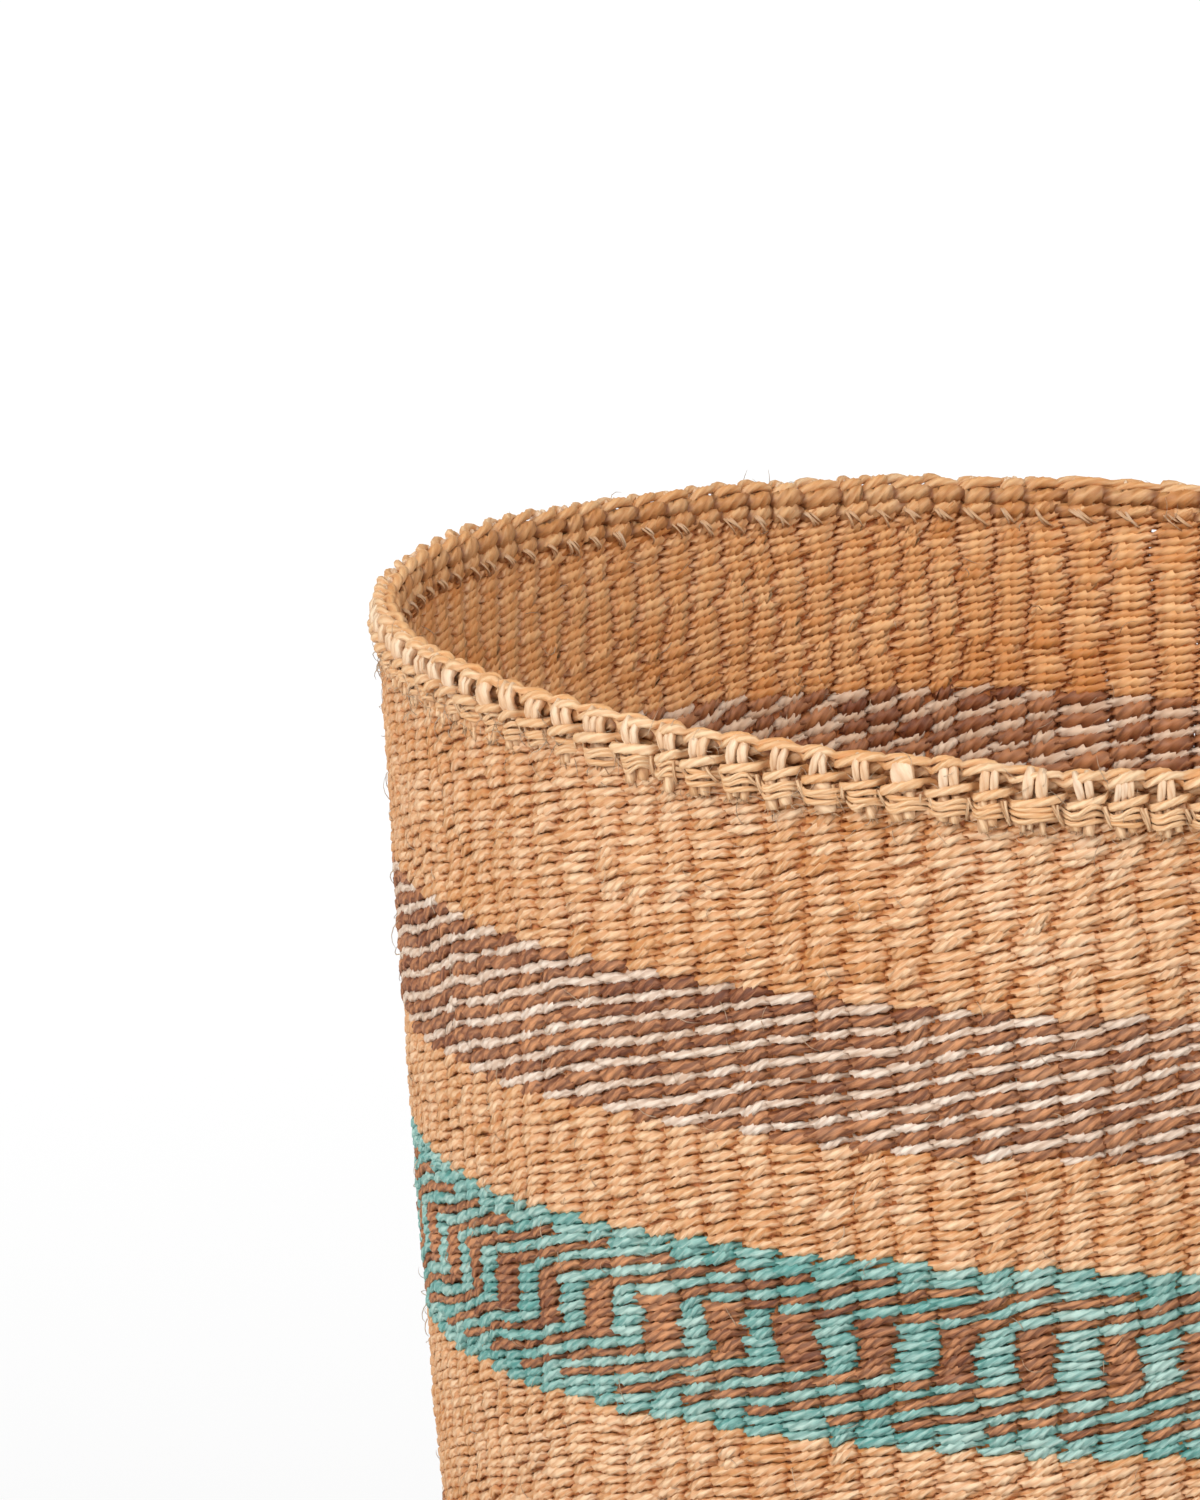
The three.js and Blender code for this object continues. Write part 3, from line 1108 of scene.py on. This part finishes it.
TIES = Tails(
    places=(0.4, 0.5), drift=0.06, way=1, lean=(-0.06, 0.24), start=0.6 * MM,
    drop=mm(2.4, 5.0), outs=mm(3.0, 3.1, 3.0, 2.7, 2.1), out_spread=0.3 * MM,
    half_width=mm(0.28, 0.5), tone=(0.0, 0.8), sinks=True,
)
TUCKS = Tails(
    places=(0.25, 0.25, 0.25), drift=0.07, way=-1, lean=(0.2, 0.5), start=1.1 * MM,
    drop=mm(2.0, 4.2), outs=mm(-1.9, -2.6, -2.85, -2.85, -2.5, -1.6), out_spread=0.15 * MM,
    half_width=mm(0.2, 0.42), tone=(-1.4, 0.9), sinks=False,
)


@dataclass
class Rim:
    """The corded rim: lower cord, posts, top cord and the folded ends with their wraps.

    The outs are distances outside the middle surface at the rings of a strand, and the swells the
    shares of its width there. The levels are measured from the rim's own CAD levels. The tones,
    the leans and the spreads of two numbers are a middle and a spread, and other pairs the least
    and the most. A tuft is the frayed tip of a folded end.
    """

    twiner: Twiner
    cord: Material
    painted_shade_rim_cord: Material
    warp: Material
    cut_end: Material
    # Painted shade: the tone of the rim's inner rows is lowered.
    inner_rows_painted_shade: float = -0.7
    inner_gap: float = 0.2 * MM
    top_drop: float = 2.25 * MM
    drift: float = 0.05
    bundle_widths: Floats = (0.82, 1.25)
    strand_widths: Floats = (0.88, 1.12)
    post_shares: Floats = (0.08, 0.62, 0.3)
    post_width: float = 3.7 * MM
    post_levels: Floats = mm(0.6, -0.6, 0.6, -0.3, 0.7, -1.1)
    post_outs: Floats = mm(1.7, 2.1, 2.75, 2.75, 1.9, 0.8)
    post_swells: Floats = (0.9, 0.98, 1.03, 1.05, 0.98, 0.75)
    post_thickness: float = 1.3
    post_depths: Floats = mm(0.7, 1.1)
    post_level_spread: float = 0.15 * MM
    post_out_spread: Floats = mm(-0.1, 0.22)
    post_tone: Floats = (-0.5, 0.65)
    end_shares: Floats = (0.1, 0.6, 0.3)
    end_width: float = 4.4 * MM
    end_start: float = 0.8 * MM
    end_foot: float = 267.1 * MM
    end_foot_spread: Floats = mm(0.2, 0.6)
    end_drops: Floats = (0.0, 0.3, 0.6, 0.85, 1.0)
    end_outs: Floats = mm(2.45, 2.5, 2.6, 2.85, 2.95)
    end_swells: Floats = (0.9, 1.0, 1.02, 1.08, 0.95)
    end_depth: float = 0.85 * MM
    end_out_spread: float = 0.12 * MM
    end_tone: Floats = (-0.3, 0.8)
    sinking: Curve = Curve((0, 33, 50, 105, 150, 360), mm(0, 0, 1.4, 1.4, 0, 0))
    tufts: int = 6
    tuft_half_width: float = 0.13 * MM
    tuft_start: float = 0.3 * MM
    tuft_lengths: Floats = mm(0.3, 1.3)
    tuft_outs: Floats = mm(-0.6, 0.6)
    tuft_out_spread: float = 0.35 * MM
    tuft_swells: Floats = (0.8, 1.5)
    tuft_tone: Floats = (0.8, 0.6)
    wrap_levels: Floats = mm(0.5, 1.6, 2.7)
    wrap_outs: Floats = mm(3.95, 3.95, 3.75)
    wrap_valley: float = 2.6 * MM
    wrap_steps: Floats = (-0.5, -0.4, -0.28, -0.12, 0.05, 0.2, 0.32, 0.42)
    wrap_half_height: float = 0.62 * MM
    wrap_half_depth: float = 0.5 * MM
    wrap_pinch: float = 0.75
    wrap_fullness: float = 1.25
    wrap_bluntness: float = 0.9
    wrap_out_spread: float = 0.2 * MM
    wrap_level_spread: float = 0.25 * MM
    wrap_lean: Floats = mm(0.5, 0.3)
    wrap_tone: Floats = (-0.4, 0.6)
    wrap_sides: int = 6
    seed: int = 41

    def __post_init__(self) -> None:
        """Reads the levels of the rim's pieces from the CAD frame."""
        self.lower_foot, self.lower_top = (c.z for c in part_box("rim_lower_cord"))
        self.top_foot, self.top = (c.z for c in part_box("rim_top_cord"))
        self.spacing = FULL_TURN / WEAVE.warps * self.twiner.form.radius[-1]

    def _twined(
        self, levels: Sequence[float], twine: Twine, node: str, seed: int, inner: bool = False
    ) -> None:
        """Twines rows of the rim, and lets them stand for their node.

        Args:
            levels: the rows' heights.
            twine: how the cords lie in the rows.
            node: the CAD node.
            seed: seed of the stitches' small differences.
            inner: whether the rows lie between the rim's outer cords.
        """
        strands = Strands()
        along = self.twiner.form.at_height(np.array(levels))
        cords = np.zeros((len(levels), 2), int)
        # The inner rows get painted shade: a lower tone and a darker finish for the shade in the
        # holes between the posts.
        shade, finish = (self.inner_rows_painted_shade, self.painted_shade_rim_cord) if inner else (0.0, self.cord)
        self.twiner.rows(strands, along, cords, seed, twine, shade=shade)
        keep(strands.build(node + "_strands", [finish]), "natural_cord", node)

    def _sunk(self, turns: Array, heights: Array) -> Array:
        """Gives how deep the folded ends lie sunk in the weft, most of all at the left."""
        along = self.twiner.form.at_height(heights)
        return self.sinking(from_front(self.twiner.angle_of(turns, along)))

    def _path(self, turns: Array, heights: Array, outs: Array) -> Array:
        """Gives the points at these places in warps, heights and distances outside the middle."""
        along = self.twiner.form.at_height(heights)
        return self.twiner.form.place(self.twiner.angle_of(turns, along), along, outs, 0 * outs)

    def _bundle(self, dice: Dice, shares: Floats, width: float) -> tuple[Array, Array]:
        """Divides each warp into one, two or three strands.

        Formula: a warp's strands share its width evenly, and stand side by side about it.

        Args:
            dice: source of the small differences.
            shares: how often a warp has one, two or three strands.
            width: width of the whole bundle.

        Returns:
            The strands' places counted in warps, and their half widths, shaped strand, 1.
        """
        counts = dice.choice([1, 2, 3], size=WEAVE.warps, p=shares)
        widths = width * dice.uniform(*self.bundle_widths, WEAVE.warps)
        warp = np.repeat(np.arange(WEAVE.warps), counts)
        order = np.concatenate([np.arange(c) for c in counts])
        each = widths[warp] / counts[warp]
        place = warp + (order - (counts[warp] - 1) / 2) * each / self.spacing
        uneven = Draws(dice, len(place)).uniform(*self.strand_widths)
        return place[:, None], (each / 2)[:, None] * uneven

    def _tails(self, strands: Strands, dice: Dice, kind: Tails) -> None:
        """Hangs one kind of tails.

        Formula: each tail goes down evenly while it leans by its own share of a warp, and its
        distance from the middle surface follows the list of its kind.

        Args:
            strands: where the tails go.
            dice: source of the small differences.
            kind: which tails.
        """
        turns = (np.arange(WEAVE.warps)[:, None] + np.array(kind.places)).reshape(-1, 1)
        draw = Draws(dice, len(turns))
        way = np.linspace(0, 1, len(kind.outs))
        turns = turns + draw.normal(0, kind.drift) + kind.way * way * draw.uniform(*kind.lean)
        heights = self.lower_foot + kind.start - way * draw.uniform(*kind.drop)
        outs = np.array(kind.outs) + draw.normal(0, kind.out_spread)
        if kind.sinks:
            outs = outs - self._sunk(turns, heights)
        thin = draw.uniform(*kind.half_width)
        path = self._path(turns, heights, outs)
        sweep(strands, path, thin, thin, draw.normal(*kind.tone), sides=5)

    def posts(self) -> None:
        """Stands the folded warps between the two rim cords.

        Formula: a strand's heights are the rim's levels plus the post levels, its distances
        outside follow the post outs, and its depth is its width times a share, within limits.
        """
        dice = np.random.default_rng(self.seed)
        strands = Strands()
        place, half = self._bundle(dice, self.post_shares, self.post_width)
        draw = Draws(dice, len(place))
        marks = (self.lower_foot, *[self.lower_top] * 2, *[self.top_foot] * 2, self.top)
        turns = place + draw.normal(0, self.drift) * np.linspace(-1, 1, len(marks))
        heights = np.add(marks, self.post_levels) + draw.normal(0, self.post_level_spread)
        outs = np.array(self.post_outs) + draw.normal(*self.post_out_spread)
        wide = half * np.array(self.post_swells)
        deep = np.clip(wide * self.post_thickness, *self.post_depths)
        path = self._path(turns, heights, outs)
        sweep(strands, path, wide, deep, draw.normal(*self.post_tone), sides=7)
        keep(strands.build("rim_posts", [self.warp]), "warp_cord", "rim_warp_posts")

    def ends(self) -> None:
        """Hangs the cut warp ends outside the wall, with frayed tips and ties between them.

        Formula: each end goes down evenly to its own foot. Each hair of its frayed tip starts at
        a share of the tip's width, goes down and spreads from there.
        """
        dice = np.random.default_rng(self.seed + 1)
        strands = Strands()
        place, half = self._bundle(dice, self.end_shares, self.end_width)
        draw = Draws(dice, len(place))
        foot = self.end_foot + draw.normal(*self.end_foot_spread)
        start = self.lower_foot + self.end_start
        heights = start + (foot - start) * np.array(self.end_drops)
        outs = np.array(self.end_outs) + draw.normal(0, self.end_out_spread)
        turns = place + draw.normal(0, self.drift) * np.linspace(0, 1, len(self.end_outs))
        outs = outs - self._sunk(turns, heights)
        wide = half * np.array(self.end_swells)
        deep = np.minimum(wide, self.end_depth)
        path = self._path(turns, heights, outs)
        sweep(strands, path, wide, deep, draw.normal(*self.end_tone), sides=6)

        tips = np.stack([part[:, -1:] for part in (turns, heights, outs, wide)])
        turn, height, out, half = np.repeat(tips, self.tufts, axis=1)
        draw = Draws(dice, len(turn))
        way = np.array([0.0, 0.5, 1.0])
        spreading = between(*self.tuft_swells, way)
        turns = turn + draw.uniform(-1, 1) * half / self.spacing * spreading
        heights = height + self.tuft_start - way * draw.uniform(*self.tuft_lengths)
        outs = out + draw.uniform(*self.tuft_outs) + way * draw.normal(0, self.tuft_out_spread)
        path, thin = self._path(turns, heights, outs), self.tuft_half_width
        sweep(strands, path, thin, thin, draw.normal(*self.tuft_tone), sides=3)

        self._tails(strands, dice, TIES)
        finished = strands.build("folded_warp_ends_strands", [self.cut_end])
        keep(finished, "warp_cord", "folded_warp_ends")

    def wraps(self) -> None:
        """Passes fine weft over the folded ends, dipping in between them.

        Formula: the weft's distance from the wall is a flattened cosine with one crest over each
        warp, and it climbs a little across each.
        """
        form = self.twiner.form
        dice = np.random.default_rng(self.seed + 2)
        levels = self.lower_foot - np.array(self.wrap_levels)[:, None]
        turns = (np.arange(WEAVE.warps)[:, None] + np.array(self.wrap_steps)).reshape(1, -1)
        warp = np.repeat(np.arange(WEAVE.warps), len(self.wrap_steps))
        jitter = dice.normal(size=(3, len(levels), WEAVE.warps))
        out_jitter, lean_jitter, up_jitter = jitter[..., warp]
        crest = np.clip(self.wrap_fullness * np.abs(np.cos(math.pi * turns)), 0, 1)
        crest = crest**self.wrap_bluntness
        along = form.at_height(levels)
        angle = self.twiner.angle_of(turns, along)
        out = np.array(self.wrap_outs)[:, None] - (1 - crest) * self.wrap_valley
        out = out + out_jitter * self.wrap_out_spread * crest - self._sunk(turns, levels)
        lean, lean_spread = self.wrap_lean
        up = (lean + lean_spread * lean_jitter) * np.sin(FULL_TURN * turns)
        up = up + self.wrap_level_spread * up_jitter * crest
        share = np.arange(self.wrap_sides) / self.wrap_sides
        half_up = self.wrap_half_height * between(self.wrap_pinch, 1, crest)
        outwards, upwards = oval(share, self.wrap_half_depth, half_up)
        outwards, upwards = out[..., None] + outwards, up[..., None] + upwards
        rings = form.place(angle[..., None], along[..., None], outwards, upwards)
        way = turns * FULL_TURN / WEAVE.warps * form.radius_at(along)
        strands = Strands()
        tone, tone_spread = self.wrap_tone
        strands.add(rings, way, share, tone + tone_spread * lean_jitter, closed=True)
        keep(strands.build("folded_end_wraps", [self.cord]), "natural_cord", "folded_warp_ends")

    def tucks(self) -> None:
        """Shows inside the wall the pale tails that are tucked down aslant behind the rim."""
        strands = Strands()
        self._tails(strands, np.random.default_rng(self.seed + 3), TUCKS)
        keep(strands.build("tucked_tails", [self.warp]), "warp_cord", "rim_lower_cord")

    def build(self) -> None:
        """Makes the whole rim."""
        lower = (self.lower_foot + self.lower_top) / 2
        between_cords = (self.lower_top + self.top_foot) / 2
        inner = [lower - self.inner_gap, between_cords + self.inner_gap]
        upper = self.top - self.top_drop
        self._twined([lower], LOWER_RIM_TWINE, "rim_lower_cord", self.seed + 4)
        self._twined(inner, INNER_RIM_TWINE, "rim_warp_posts", self.seed + 6, inner=True)
        self._twined([upper], TOP_RIM_TWINE, "rim_top_cord", self.seed + 5)
        self.posts()
        self.ends()
        self.wraps()
        self.tucks()


@dataclass
class StrayFibres:
    """Loose single fibres that stand off the cords, most of them at the rim.

    The inner belt is how far down from the rim more fibres show inside, and the rim belt how far
    those at the rim start below and above it. The free share is how many stand off at their end.
    The lengths are shares of the usual length, the loops and the free reach shares of the
    fibre's own, and the widths of the half width, each the least and the most. The spreads of
    heading and bend are in radians, and the tone is its middle and its spread.
    """

    twiner: Twiner
    material: Material
    outer_count: int = 900
    inner_counts: tuple[int, int] = (260, 150)
    rim_count: int = 800
    outer_length: float = 4.5 * MM
    length: float = 5 * MM
    half_width: float = 0.13 * MM
    inner_belt: float = 60 * MM
    rim_belt: Floats = mm(7, 5)
    free_share: float = 0.45
    lengths: Floats = (0.4, 1.6)
    heading_spread: float = 0.9
    bend_spread: float = 1.3
    loops: Floats = (0.05, 0.2)
    free_reach: Floats = (0.0, 0.28)
    sunk: float = 0.15 * MM
    widths: Floats = (0.6, 1.1)
    tone: Floats = (1.4, 0.7)
    steps: int = 5
    seed: int = 77

    def _scatter(
        self, strands: Strands, count: int, low: float, high: float, side: int, long: float
    ) -> None:
        """Scatters fibres over a belt of the wall.

        Formula: each fibre starts on the stitches and follows a parabola in its own direction
        over the surface, bent sideways, while its distance from the surface rises and mostly
        falls again.

        Args:
            strands: where the fibres go.
            count: how many.
            low: lowest height.
            high: highest height.
            side: 1 outside the wall, -1 inside it.
            long: usual length.
        """
        dice = np.random.default_rng(self.seed + strands.count)
        draw = Draws(dice, count)
        form = self.twiner.form
        way = np.linspace(0, 1, self.steps)[None, :]
        along = form.at_height(draw.uniform(low, high))
        angle = draw.uniform(0, FULL_TURN)
        length = long * draw.uniform(*self.lengths)
        heading = draw.normal(0, self.heading_spread) + math.pi * dice.integers(0, 2, (count, 1))
        turned = heading + draw.normal(0, self.bend_spread) * way
        sideways = np.cumsum(np.cos(turned), axis=1) * length / self.steps
        upwards = np.cumsum(np.sin(turned), axis=1) * length / self.steps
        loop = draw.uniform(*self.loops) * length
        is_free = dice.random((count, 1)) < self.free_share
        free = is_free * draw.uniform(*self.free_reach) * length
        out = side * (WEAVE.wall / 2 - self.sunk + loop * 4 * way * (1 - way) + free * way)
        path = form.place(angle + sideways / form.radius_at(along), along + upwards, out, 0 * out)
        thin = self.half_width * np.sqrt(np.clip(1.05 - way, 0, 1)) * draw.uniform(*self.widths)
        sweep(strands, path, thin, thin, draw.normal(*self.tone), sides=3, rise=0.7)

    def build(self) -> None:
        """Scatters the fibres outside, inside and over the rim."""
        foot, top = self.twiner.form.levels[[0, -1]]
        middle, low, high = top - self.inner_belt, top - self.rim_belt[0], top + self.rim_belt[1]
        upper_count, lower_count = self.inner_counts
        strands = Strands()
        self._scatter(strands, self.outer_count, foot, top, 1, self.outer_length)
        self._scatter(strands, upper_count, middle, top, -1, self.length)
        self._scatter(strands, lower_count, foot, middle, -1, self.length)
        self._scatter(strands, self.rim_count, low, high, 1, self.length)
        keep(strands.build("stray_fibres", [self.material]), "warp_cord")


def face(seen: Piece, place: Vector, ahead: Vector) -> None:
    """Puts a camera or a lamp at a place, so that it looks ahead with its top upwards."""
    turned = ahead.to_track_quat("-Z", "Y").to_matrix().to_4x4()
    seen.matrix_world = Matrix.Translation(place) @ turned


@dataclass
class Studio:
    """Plain pale floor, soft light, and the camera at the photograph's angle.

    A lamp has its name, its place, the length of its side and its power. The floor glows white
    for the camera alone, and more so past the fade's start, so that the basket keeps its shadow.
    """

    elevation: float = math.radians(11.8)
    distance: float = 6.0
    pixels_per_metre: float = 4973.0
    axis_pixel: tuple[float, float] = (1113.0, 619.0)
    frame_pixels: tuple[int, int] = (1200, 1500)
    rim_height: float = 280 * MM
    sensor: float = 36.0
    lamps: tuple[tuple[str, Colour, float, float], ...] = (
        ("key", (-1.6, -2.3, 2.0), 2.2, 60),
        ("second", (2.0, -1.8, 2.2), 2.2, 42),
        ("edge", (-2.8, -0.8, 1.0), 2.4, 24),
    )
    lamp_aim: float = 0.15
    floor_half: float = 6.0
    floor_glow: float = 1.06
    glow_near: float = 0.7
    fade_start: float = 0.4
    fade_rate: float = 0.3
    room_light: float = 0.52

    def camera(self) -> None:
        """Aims the camera so that the rim's centre falls on its pixel, without any shift.

        Formula: the target lies as far beside and above the rim's centre as the frame's middle
        lies from that pixel, divided by the pixels per metre, which the lens shows there.
        """
        back = Vector((0, -math.cos(self.elevation), math.sin(self.elevation)))
        upward = Vector((0, math.sin(self.elevation), math.cos(self.elevation)))
        aside = (self.frame_pixels[0] / 2 - self.axis_pixel[0]) / self.pixels_per_metre
        lift = (self.axis_pixel[1] - self.frame_pixels[1] / 2) / self.pixels_per_metre
        target = Vector((aside, 0, self.rim_height)) + upward * lift
        data = bpy.data.cameras.new("camera")
        data.sensor_width = self.sensor
        data.lens = self.sensor * self.pixels_per_metre * self.distance / self.frame_pixels[1]
        data.clip_end = 100
        camera = new_object("camera", data)
        face(camera, target + back * self.distance, -back)
        bpy.context.scene.camera = camera

    def lights(self) -> None:
        """Hangs the square soft lamps, which all face the basket."""
        for name, place, size, watts in self.lamps:
            data = bpy.data.lights.new(name, "AREA")
            data.size, data.energy = size, watts
            ahead = Vector((0, 0, self.lamp_aim)) - Vector(place)
            face(new_object(name, data), Vector(place), ahead)

    def floor(self) -> None:
        """Lays a pale floor that keeps the basket's shadow and fades to white for the camera."""
        bench = Bench("pale_floor")
        rays = bench.node("LightPath", out="Is Camera Ray")
        place = bench.node("TexCoord", out="Object")
        away = bench.node("VectorMath", {0: place}, "Value", operation="LENGTH")
        paint = bench.node("BsdfDiffuse", {"Color": (0.8, 0.8, 0.8, 1.0)})
        glow = bench.node("Emission", {"Color": WHITE, "Strength": self.floor_glow})
        fade = ((away - self.fade_start) * self.fade_rate).clamped()
        share = rays * (self.glow_near + fade).clamped()
        surface = bench.node("MixShader", {0: share, 1: paint, 2: glow})
        half = self.floor_half
        corners = [(-half, -half, 0), (half, -half, 0), (half, half, 0), (-half, half, 0)]
        mesh = bpy.data.meshes.new("floor")
        mesh.from_pydata(corners, [], [(0, 1, 2, 3)])
        mesh.materials.append(bench.finish(surface))
        new_object("floor", mesh)

    def world(self) -> None:
        """Fills the room with even white light."""
        world = bpy.data.worlds.new("studio")
        world.use_nodes = True
        background = world.node_tree.nodes["Background"]
        background.inputs["Color"].default_value = WHITE
        background.inputs["Strength"].default_value = self.room_light
        bpy.context.scene.world = world

    def build(self) -> None:
        """Sets the camera, the lamps, the floor and the world."""
        self.camera()
        self.lights()
        self.floor()
        self.world()
        bpy.context.scene.view_settings.view_transform = "Standard"


def main() -> None:
    """Builds the basket piece by piece and sets up the studio."""
    logging.basicConfig(level=logging.INFO, format="%(message)s")
    twiner = Twiner(BasketForm([band.node for band in BANDS]))
    materials = {cord: finish.material() for cord, finish in FINISHES.items()}
    warp = WARP_FINISH.material()
    painted_shade_warp = PAINTED_SHADE_WARP_FINISH.material()
    finishes = (RIM_FINISH.material(), PAINTED_SHADE_RIM_FINISH.material(), warp, CUT_END_FINISH.material())
    Studio().build()
    Base(twiner, materials[Cord.NATURAL]).build()
    Wall(twiner, materials).build()
    Uprights(twiner, painted_shade_warp).build()
    Rim(twiner, *finishes).build()
    StrayFibres(twiner, warp).build()


if __name__ == "__main__":
    main()
